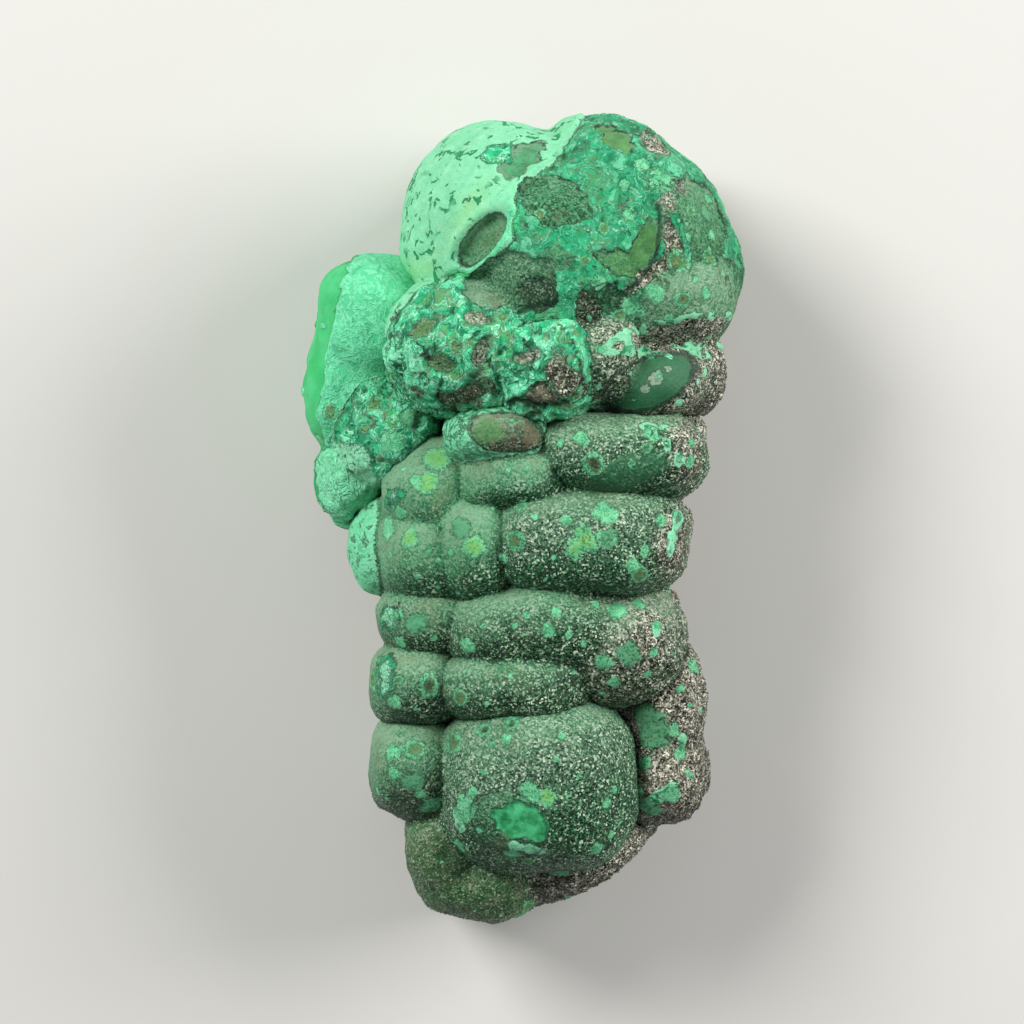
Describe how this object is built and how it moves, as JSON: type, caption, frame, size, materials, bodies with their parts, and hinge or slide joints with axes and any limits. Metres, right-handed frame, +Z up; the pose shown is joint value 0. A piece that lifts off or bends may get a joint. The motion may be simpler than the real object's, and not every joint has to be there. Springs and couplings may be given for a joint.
{
  "type": "malachite specimen",
  "caption": "Loose botryoidal malachite specimen: a broad domed crown, a small ear on one side and a column of stacked rounded lobes, lying on its broken back.",
  "frame": {"origin": "middle of the resting side, on the surface that the stone lies on", "axes": "+X to the right, +Y from the narrow foot up to the broad crown, +Z up, away from the broken back"},
  "size_m": [0.0462, 0.0854, 0.033],
  "materials": {
    "malachite": "velvety green lobes with a pale mint crust and sparkling druzy patches"
  },
  "bodies": {
    "root": {"stone": "malachite"}
  },
  "joints": []
}
